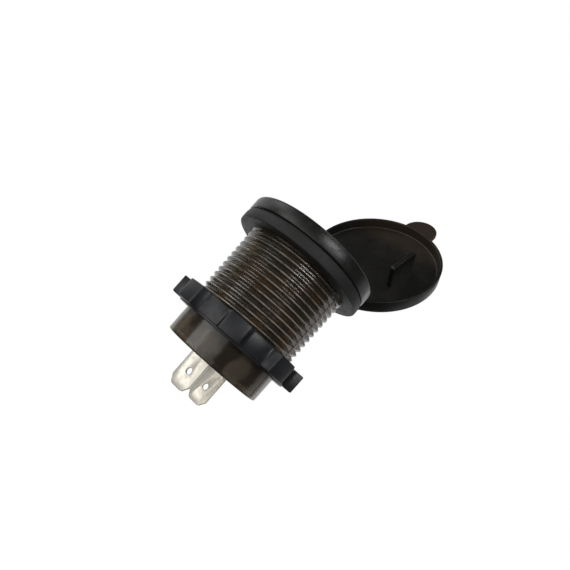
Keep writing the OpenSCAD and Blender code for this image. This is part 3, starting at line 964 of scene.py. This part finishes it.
@dataclass
class Hinge:
    """Line that the dust cap folds on, and the straps on both sides of it."""

    open_angle: float = 115
    half_width: float = 5.5 * MM
    reach: float = 0.6 * MM
    half_gap: float = 0.2 * MM
    thick: float = 0.8 * MM
    strap_round: float = 0.15 * MM
    web: float = 0.4 * MM
    web_inset: float = 0.1 * MM
    web_lap: float = 0.3 * MM
    web_round: float = 0.08 * MM
    web_steps: int = 14
    pull: float = 0.42
    line: Vector = field(init=False)

    def __post_init__(self) -> None:
        """Takes the hinge line from the joint."""
        joint = next(j for j in frame["joints"] if j["name"] == "cap_hinge")
        self.line = Vector(joint["pos_m"])

    def strap(self, inside: float, bottom: float) -> Form:
        """One of the two straps.

        Args:
            inside: Distance from the axis where it starts, inside the collar or the rim.
            bottom: Height of its underside.

        Returns:
            The strap.
        """
        low = Vector((-self.half_width, inside, bottom))
        high = Vector((self.half_width, self.line.y - self.reach, bottom + self.thick))
        return Form.block(low, high).bevelled(self.strap_round)

    def fixed_strap(self, inside: float) -> Form:
        """The half on the collar."""
        return self.strap(inside, self.line.z - self.half_gap - self.thick)

    def moving_strap(self, inside: float) -> Form:
        """The half on the closed cap."""
        return self.strap(inside, self.line.z + self.half_gap)

    def build(self) -> bpy.types.Object:
        """Makes the thin web, curved between the two straps as they stand open.

        Returns:
            The finished piece.
        """
        middle = self.half_gap + self.thick / 2
        turn = math.radians(self.open_angle)
        start = Vector((0, -self.reach - self.web_lap, -middle))
        closed = Vector((-self.reach - self.web_lap, middle))
        end = Vector((
            0,
            closed.x * math.cos(turn) + closed.y * math.sin(turn),
            -closed.x * math.sin(turn) + closed.y * math.cos(turn),
        ))
        way = Vector((0, -math.cos(turn), math.sin(turn)))
        edge = Vector((-self.half_width + self.web_inset, 0, 0))
        points = [self.line + spot + edge for spot in self.bend(start, Y_AXIS, end, way)]
        form = Form.chain(points, closed=False)
        with form.editing(Domain.EDGES):
            across = (2 * self.half_width - 2 * self.web_inset, 0, 0)
            bpy.ops.mesh.extrude_region_move(TRANSFORM_OT_translate={"value": across})
        form.with_modifier("SOLIDIFY", thickness=self.web, offset=0)
        obj = form.cleaned().bevelled(self.web_round).shaded("hinge_web", COLLAR, sharp=30)
        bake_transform(obj)
        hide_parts("cap_hinge_web")
        return obj

    def bend(self, start: Vector, leave: Vector, end: Vector, arrive: Vector) -> list[Vector]:
        """A smooth curve between the two straps' ends.

        Args:
            start: First point.
            leave: Direction there.
            end: Last point.
            arrive: Direction there.

        Returns:
            Points along the curve.
        """
        pull = (end - start).length * self.pull
        a, b = start + leave * pull, end - arrive * pull
        spots = []
        for i in range(self.web_steps + 1):
            t = i / self.web_steps
            u = 1 - t
            spots.append(u**3 * start + 3 * u * u * t * a + 3 * u * t * t * b + t**3 * end)
        return spots


@dataclass
class Collar:
    """Collar round the flange, with the fixed half of the hinge strap."""

    hinge: Hinge
    bore: float = 14.5 * MM
    inside: float = 17.0 * MM
    web: float = 0.6 * MM
    rear_round: float = 0.35 * MM
    front_round: float = 0.75 * MM
    lip_round: float = 0.15 * MM
    strap_lap: float = 0.6 * MM

    def build(self) -> bpy.types.Object:
        """Makes the collar.

        Returns:
            The finished piece.
        """
        low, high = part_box("cap_collar")
        r, rear, front, lip = high.x, self.rear_round, self.front_round, self.lip_round
        outline = [
            (self.bore, low.z),
            *arc((r - rear, low.z + rear), rear, -90, 0, 3),
            *arc((r - front, high.z - front), front, 0, 90, 6),
            *arc((self.inside + lip, high.z - lip), lip, 90, 180, 2),
            (self.inside, low.z + self.web),
            (self.bore, low.z + self.web),
        ]
        form = Form.lathe(outline)
        form.combined(self.hinge.fixed_strap(r - self.strap_lap), Combine.ADD)
        return form.finished("collar", COLLAR, "socket", "cap_collar", sharp=40)


@dataclass
class DustCap:
    """Shallow cap with its rim, finger tab, port rib and the moving half of the strap.

    The tab's root lies inside the cap, by tab_root from its fillets' middle and the cap's edge, and
    fillet_short is the angle in degrees by which a fillet stops short of the rim.
    """

    hinge: Hinge
    outer: float = 19.2 * MM
    wall: float = 0.85 * MM
    rim: float = 4.9 * MM
    rim_round: float = 0.2 * MM
    under: float = 7.8 * MM
    under_round: float = 0.4 * MM
    top: float = 9.0 * MM
    dome: float = 0.5 * MM
    dome_rings: int = 12
    edge: float = 0.5 * MM
    strap_lap: float = 0.6 * MM
    tab_r: float = 5.2 * MM
    tab_centre: float = 22.6 * MM
    tab_thick: float = 1.1 * MM
    tab_drop: float = 0.1 * MM
    tab_round: float = 0.3 * MM
    tab_fillet: float = 1.6 * MM
    tab_root: Span = (1.4 * MM, 2.4 * MM)
    fillet_short: float = 4
    rib_x: float = 9.0 * MM
    rib_thick: float = 1.3 * MM
    rib_back: float = -5.6 * MM
    rib_front: float = 4.6 * MM
    rib_tip: float = 0.8 * MM
    rib_sunk: float = 0.4 * MM
    rib_round: float = 0.18 * MM
    tip_round: float = 0.9 * MM

    def shell(self) -> Form:
        """The turned body of the closed cap.

        Returns:
            The shell.
        """
        inside, edge = self.outer - self.wall, self.edge
        under, rim = self.under_round, self.rim_round
        shares = [1 - k / self.dome_rings for k in range(1, self.dome_rings)]
        outline = [
            (0, self.under),
            *arc((inside - under, self.under - under), under, 90, 0, 4),
            *arc((inside + rim, self.rim + rim), rim, 180, 270, 2),
            *arc((self.outer - rim, self.rim + rim), rim, -90, 0, 3),
            *arc((self.outer - edge, self.top - edge), edge, 0, 90, 5),
            *[((self.outer - edge) * s, self.top + self.dome * (1 - s**2)) for s in shares],
            (0, self.top + self.dome),
        ]
        return Form.lathe(outline)

    def tab(self) -> Form:
        """The finger tab, with fillets where it leaves the rim.

        Returns:
            The tab, on the closed cap.
        """
        fillet_x = self.tab_r + self.tab_fillet
        fillet_y = math.sqrt((self.outer + self.tab_fillet) ** 2 - fillet_x**2)
        start = 180 - math.degrees(math.atan2(fillet_y, fillet_x)) + self.fillet_short
        corner = arc((fillet_x, -fillet_y), self.tab_fillet, start, 180, 6)
        nose = arc((0, -self.tab_centre), self.tab_r, 0, -180, 24)
        inward, forward = self.tab_root
        right = [(fillet_x - inward, forward - self.outer), *corner]
        outline = [*right, *nose, *[(-x, y) for x, y in reversed(right)]]
        low = self.top - self.tab_thick - self.tab_drop
        return Form.plate(outline, low, low + self.tab_thick).bevelled(self.tab_round, 3, 50)

    def rib(self) -> Form:
        """The rib that stands in the open half of a port when the cap is shut.

        Returns:
            The rib, on the closed cap.
        """
        half = self.rib_thick / 2
        low = Vector((self.rib_x - half, self.rib_back, self.rib_tip))
        high = Vector((self.rib_x + half, self.rib_front, self.under + self.rib_sunk))
        form = Form.block(low, high)

        def at_tip(middle: Vector) -> bool:
            """Whether an edge is one of the two across the rib's tip."""
            off_end = min(abs(middle.y - end) for end in (self.rib_back, self.rib_front))
            return max(abs(middle.z - self.rib_tip), off_end) < SAME_SPOT

        with form.editing(Domain.EDGES, at_tip):
            bpy.ops.mesh.bevel(offset=self.tip_round, segments=4)
        return form.bevelled(self.rib_round)

    def build(self) -> bpy.types.Object:
        """Makes the cap and opens it.

        Returns:
            The finished piece.
        """
        form = self.shell()
        for extra in (self.tab(), self.rib(), self.hinge.moving_strap(self.outer - self.strap_lap)):
            form.combined(extra, Combine.ADD)
        form.turned(-self.hinge.open_angle, X_AXIS, self.hinge.line)
        return form.finished("cap", CAP, "cap", "dust_cap")


@dataclass
class LockNut:
    """Lock nut: a ring with straight-sided lobes, and a low boss at its back.

    A lobe's flank has two points, each given beyond the ring and beyond half the lobe's width.
    """

    bore: float = 14.46 * MM
    ring: float = 16.6 * MM
    tip: float = 19.2 * MM
    lobe_width: float = 5.8 * MM
    flare: float = 0.6 * MM
    flank: tuple[Span, Span] = ((0.6 * MM, 0), (0.2 * MM, 0.22 * MM))
    lobes: int = 8
    turn: float = 27.5
    front: float = -19.3 * MM
    back: float = -24.2 * MM
    lobe_round: float = 0.28 * MM
    boss: float = 0.4 * MM
    boss_inset: float = 0.1 * MM
    boss_round: float = 0.12 * MM

    def lobe(self) -> list[Point]:
        """Outline of one lobe along +X and of the valley after it.

        Returns:
            Its points.
        """
        half = self.lobe_width / 2
        root = math.degrees(math.asin((half + self.flare) / self.ring))
        tip = math.degrees(math.asin(half / self.tip))
        flank = [(self.ring + out, half + wide) for out, wide in self.flank]
        return [
            *[(x, -y) for x, y in reversed(flank)],
            *arc((0, 0), self.tip, -tip, tip, 6),
            *flank,
            *arc((0, 0), self.ring, root, 360 / self.lobes - root, 8),
        ]

    def outline(self) -> list[Point]:
        """Outline of the whole nut.

        Returns:
            Its points.
        """
        points = []
        for i in range(self.lobes):
            turn = Matrix.Rotation(math.radians(self.turn + 360 / self.lobes * i), 2)
            points += [tuple(turn @ Vector(p)) for p in self.lobe()]
        return points

    def build(self) -> bpy.types.Object:
        """Makes the nut.

        Returns:
            The finished piece.
        """
        form = Form.plate(self.outline(), self.back, self.front)
        form.bevelled(self.lobe_round, 3, 40)
        boss_r, boss_end = self.ring - self.boss_inset, self.back - self.boss
        boss = Form.rod(boss_r, Z_AXIS * boss_end, Z_AXIS * (self.front - MM))
        form.combined(boss.bevelled(self.boss_round), Combine.ADD)
        ends = Z_AXIS * (self.back - MM), Z_AXIS * (self.front + MM)
        form.combined(Form.rod(self.bore, *ends), Combine.CUT)
        return form.finished("nut_ring", NUT, "nut", "lock_nut")


@dataclass
class Blades:
    """The two stamped terminals, each with a shoulder and two solder legs.

    The tip's corner has two points, each given from half the tip's width and from its end.
    """

    width: float = 6.3 * MM
    thick: float = 0.8 * MM
    edge: float = 0.1 * MM
    shoulder: float = 3.2 * MM
    shoulder_cut: float = 1.0 * MM
    rear_inside: float = -30.1 * MM
    board: float = -23.6 * MM
    legs: Span = (4.6 * MM, 1.3 * MM)
    leg_half: float = 0.6 * MM
    leg_end: float = -21.4 * MM
    hole_r: float = 0.85 * MM
    hole_at: float = 5.0 * MM
    tip_width: float = 3.4 * MM
    tip_corner: tuple[Point, Point] = ((-0.2 * MM, 0), (0.35 * MM, 0.3 * MM))
    taper: float = 2.0 * MM

    def outline(self, tip: float) -> list[Point]:
        """Outline in X and Z, with the shoulder towards +X.

        Args:
            tip: Height of the blade's tip.

        Returns:
            Its points.
        """
        half, nose = self.width / 2, self.tip_width / 2
        step, cut = half + self.shoulder, self.shoulder_cut
        right = [(nose + x, tip + z) for x, z in self.tip_corner] + [(half, tip + self.taper)]
        legs = []
        for middle in self.legs:
            a, b = middle + self.leg_half, middle - self.leg_half
            legs += [(a, self.board), (a, self.leg_end), (b, self.leg_end), (b, self.board)]
        return [
            (-half, self.board),
            *[(-x, z) for x, z in reversed(right)],
            *right,
            (half, self.rear_inside), (step, self.rear_inside),
            (step, self.board - cut), (step - cut, self.board),
            *legs,
        ]

    def build(self, side: Side) -> bpy.types.Object:
        """Makes one blade.

        Args:
            side: PLUS is the positive blade.

        Returns:
            The finished piece.
        """
        node = "blade_positive" if side is Side.PLUS else "blade_negative"
        low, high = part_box(node)
        form = Form.plate(self.outline(low.z), -self.thick / 2, self.thick / 2)
        form.turned(90, X_AXIS)
        hole_z = low.z + self.hole_at
        ends = Vector((0, -MM, hole_z)), Vector((0, MM, hole_z))
        form.combined(Form.rod(self.hole_r, *ends, sides=32), Combine.CUT)
        form.cleaned().bevelled(self.edge, 2, 30)
        if side is Side.MINUS:
            form.turned(180, Z_AXIS)
        form.obj.location.y = (low.y + high.y) / 2
        return form.settled().finished(f"{node}_strip", TINNED, "socket", node)


@dataclass
class Face:
    """Face plate with its two framed port mouths, lamp hole and spigot."""

    radius: float = 15.8 * MM
    back: float = 4.8 * MM
    front: float = 6.2 * MM
    edge: float = 0.2 * MM
    spigot_r: float = 12.5 * MM
    spigot_end: float = 1.8 * MM
    wall: float = 1.0 * MM
    port_x: float = 7.6 * MM
    mouth: Vector = field(default_factory=lambda: Vector((5.82, 13.24)) * MM)
    mouth_corner: float = 0.75 * MM
    land: float = 0.9 * MM
    land_corner: float = 1.2 * MM
    land_round: float = 0.15 * MM
    proud: float = 0.35 * MM
    sunk: float = 0.5 * MM
    lamp_r: float = 1.15 * MM

    @staticmethod
    def rounded(x: float, size: Vector, corner: float, low: float, high: float) -> Form:
        """An upright block with round corners.

        Args:
            x: Place of its middle.
            size: Its width and length.
            corner: Radius of its corners.
            low: Lower height.
            high: Upper height.

        Returns:
            The block.
        """
        a, b = size.x / 2 - corner, size.y / 2 - corner
        outline = []
        for turn, centre in enumerate(((x + a, b), (x - a, b), (x - a, -b), (x + a, -b))):
            outline += arc(centre, corner, 90 * turn, 90 * turn + 90, 6)
        return Form.plate(outline, low, high)

    def build(self) -> bpy.types.Object:
        """Makes the plate.

        Returns:
            The finished piece.
        """
        inner, edge = self.spigot_r - self.wall, self.edge
        outline = [
            (0, self.back), (inner, self.back), (inner, self.spigot_end),
            (self.spigot_r, self.spigot_end), (self.spigot_r, self.back), (self.radius, self.back),
            *arc((self.radius - edge, self.front - edge), edge, 0, 90, 3),
            (0, self.front),
        ]
        form = Form.lathe(outline)
        size = self.mouth + Vector((2, 2)) * self.land
        bottom, top = self.front - self.sunk, self.front + self.proud
        for side in Side:
            land = self.rounded(side.value * self.port_x, size, self.land_corner, bottom, top)
            form.combined(land.bevelled(self.land_round, 3, 50), Combine.ADD)
        bottom, top = self.spigot_end - MM, self.front + MM
        for side in Side:
            x = side.value * self.port_x
            hole = self.rounded(x, self.mouth, self.mouth_corner, bottom, top)
            form.combined(hole, Combine.CUT)
        ends = Z_AXIS * (self.back - MM), Z_AXIS * (self.front + MM)
        form.combined(Form.rod(self.lamp_r, *ends, sides=48), Combine.CUT)
        return form.finished("face", FACE, "socket", "face_plate")


@dataclass
class Inside:
    """CAD nodes that keep their shape and get a finish: the ports and what the barrel holds."""

    finishes: tuple[tuple[Finish, tuple[str, ...]], ...] = (
        (STEEL, ("usb_shell_a", "usb_shell_b")),
        (PORT_WHITE, ("usb_tongue_a", "usb_tongue_b")),
        (GOLD, ("usb_contacts_a", "usb_contacts_b", "board_pins")),
        (LAMINATE, ("port_board", "power_board")),
        (BLACK, ("pin_header", "noise_capacitor", "converter_chip", "charge_chip")),
        (BLACK, ("blocking_diode",)),
        (SLEEVE, ("input_capacitor", "output_capacitor")),
        (FERRITE, ("inductor_core",)),
        (COPPER, ("inductor_winding",)),
        (CLEAR, ("status_led", "light_pipe")),
    )

    def dress(self) -> int:
        """Gives each node its finish.

        Returns:
            The number of nodes dressed.
        """
        pairs = [(node, finish) for finish, nodes in self.finishes for node in nodes]
        for node, finish in pairs:
            for slot in frame["nodes"][node].material_slots:
                slot.material = finish.material()
        return len(pairs)


@dataclass(frozen=True)
class Softbox:
    """A rectangular light that looks at the socket from one side.

    Its side is given as right, up and back of the camera, its power in watts, and squat is its
    height as a share of its width.
    """

    name: str
    toward: Factors
    away: float
    size: float
    power: float
    squat: float = 1

    def build(self, basis: tuple[Vector, Vector, Vector]) -> None:
        """Adds the light.

        Args:
            basis: The camera's right, up and back directions.
        """
        way = sum((axis * share for axis, share in zip(basis, self.toward)), Vector()).normalized()
        data = bpy.data.lights.new(self.name, "AREA")
        data.shape = "RECTANGLE"
        data.size, data.size_y = self.size, self.size * self.squat
        data.energy = self.power
        obj = bpy.data.objects.new(self.name, data)
        bpy.context.scene.collection.objects.link(obj)
        obj.location = way * self.away
        obj.rotation_mode = "QUATERNION"
        obj.rotation_quaternion = way.to_track_quat("Z", "Y")


@dataclass
class Studio:
    """White sweep, soft light and the camera at the photograph's place."""

    azimuth: float = 31.7
    roll: float = 41.35
    distance: float = 120.5 * MM
    eye_height: float = -26.64 * MM
    focal_px: float = 486.5
    frame_px: float = 570
    axis_px: Point = (224.6, 349)
    sensor: float = 36
    clip: Span = (5 * MM, 200)
    floor_height: float = -0.5
    floor_size: float = 60
    card_away: float = 0.7
    card_size: float = 1.6
    white: Colour = (0.9, 0.9, 0.9)
    matt: float = 0.9
    softboxes: tuple[Softbox, ...] = (
        Softbox("key_softbox", (-0.68, 0.5, 0.54), 0.6, 0.3, 0.7),
        Softbox("front_softbox", (-0.5, 0.02, 0.86), 0.8, 0.6, 1.15),
        Softbox("band_softbox", (0.44, -0.02, 0.9), 0.8, 0.5, 1.5, squat=0.2),
        Softbox("face_softbox", (0.72, 0.5, 0.42), 0.6, 0.3, 0.55),
        Softbox("top_softbox", (-0.35, 0.93, 0.1), 0.6, 0.3, 0.5),
        Softbox("right_softbox", (0.65, -0.57, -0.5), 0.7, 0.6, 0.5),
        Softbox("left_softbox", (-0.5, 0.78, -0.38), 0.7, 0.4, 0.35),
    )

    def basis(self) -> tuple[Vector, Vector, Vector]:
        """The camera's axes.

        Returns:
            Its right, up and back directions.
        """
        a, r = math.radians(self.azimuth), math.radians(self.roll)
        side = Vector((math.cos(a), math.sin(a), 0))
        back = Vector((math.sin(a), -math.cos(a), 0))
        up = Z_AXIS * math.cos(r) - side * math.sin(r)
        return up.cross(back), up, back

    def camera(self) -> None:
        """Makes the camera and gives it to the scene."""
        right, up, back = self.basis()
        data = bpy.data.cameras.new("camera")
        data.sensor_width = self.sensor
        data.lens = self.focal_px / self.frame_px * self.sensor
        data.shift_x = 0.5 - self.axis_px[0] / self.frame_px
        data.shift_y = self.axis_px[1] / self.frame_px - 0.5
        data.clip_start, data.clip_end = self.clip
        obj = bpy.data.objects.new("camera", data)
        bpy.context.scene.collection.objects.link(obj)
        turn = Matrix((right, up, back)).transposed().to_4x4()
        eye = back * self.distance + Z_AXIS * self.eye_height
        obj.matrix_world = Matrix.Translation(eye) @ turn
        bpy.context.scene.camera = obj

    def world(self, seen: float, through: float, light: float) -> None:
        """White all round, brighter to the camera than to the socket.

        Args:
            seen: Strength that the camera sees.
            through: Strength that is seen through clear plastic.
            light: Strength that lights the socket.
        """
        world = bpy.data.worlds.new("studio")
        world.use_nodes = True
        tree = world.node_tree
        background = tree.nodes["Background"]
        path = tree.nodes.new("ShaderNodeLightPath")
        amount = light
        for ray, strength in (("Is Transmission Ray", through), ("Is Camera Ray", seen)):
            chosen = tree.nodes.new("ShaderNodeMix")
            chosen.inputs["B"].default_value = strength
            tree.links.new(path.outputs[ray], chosen.inputs["Factor"])
            if isinstance(amount, float):
                chosen.inputs["A"].default_value = amount
            else:
                tree.links.new(amount, chosen.inputs["A"])
            amount = chosen.outputs["Result"]
        tree.links.new(amount, background.inputs["Strength"])
        background.inputs["Color"].default_value = (1, 1, 1, 1)
        bpy.context.scene.world = world

    def sheet(
        self, name: str, size: float, place: Vector, turn: Euler, glow: float, unseen: list[str]
    ) -> None:
        """A large white sheet that belongs to the studio.

        Args:
            name: Name of the sheet.
            size: Length of its sides.
            place: Its middle.
            turn: How it is turned from lying flat.
            glow: Strength of its own light.
            unseen: Kinds of ray that don't meet it.
        """
        Form.nothing_selected()
        bpy.ops.mesh.primitive_plane_add(size=size, location=place, rotation=turn)
        obj = Form.added().settled().obj
        obj.name = name
        shader = Shader(f"{name}_white")
        shader.set(Base_Color=self.white, Roughness=self.matt)
        shader.set(Emission_Color=(1, 1, 1), Emission_Strength=glow)
        obj.data.materials.append(shader.material)
        for ray in unseen:
            setattr(obj, f"visible_{ray}", False)

    def build(self) -> None:
        """Sets up the light, a pale floor, a card behind the socket and the camera."""
        self.world(seen=1.0, through=0.62, light=0.07)
        floor, back = Z_AXIS * self.floor_height, self.basis()[2]
        self.sheet("floor", self.floor_size, floor, Euler(), glow=1, unseen=["diffuse", "glossy"])
        card, turn = back * -self.card_away, back.to_track_quat("Z", "Y").to_euler()
        self.sheet("back_card", self.card_size, card, turn, glow=0.6, unseen=["camera"])
        for softbox in self.softboxes:
            softbox.build(self.basis())
        self.camera()
        bpy.context.scene.view_settings.view_transform = "Standard"


def main() -> None:
    """Builds the scene, piece by piece."""
    logging.basicConfig(level=logging.INFO, format="%(name)s: %(message)s")
    hinge = Hinge()
    builders: list[Callable[[], bpy.types.Object]] = [
        Barrel().build,
        Seat().build,
        Collar(hinge).build,
        DustCap(hinge).build,
        hinge.build,
        LockNut().build,
        lambda: Blades().build(Side.PLUS),
        lambda: Blades().build(Side.MINUS),
        Face().build,
    ]
    for build in builders:
        piece = build()
        LOG.info("%s: %d faces", piece.name, len(piece.data.polygons))
    LOG.info("%d nodes keep their CAD shape", Inside().dress())
    Studio().build()


if __name__ == "__main__":
    main()
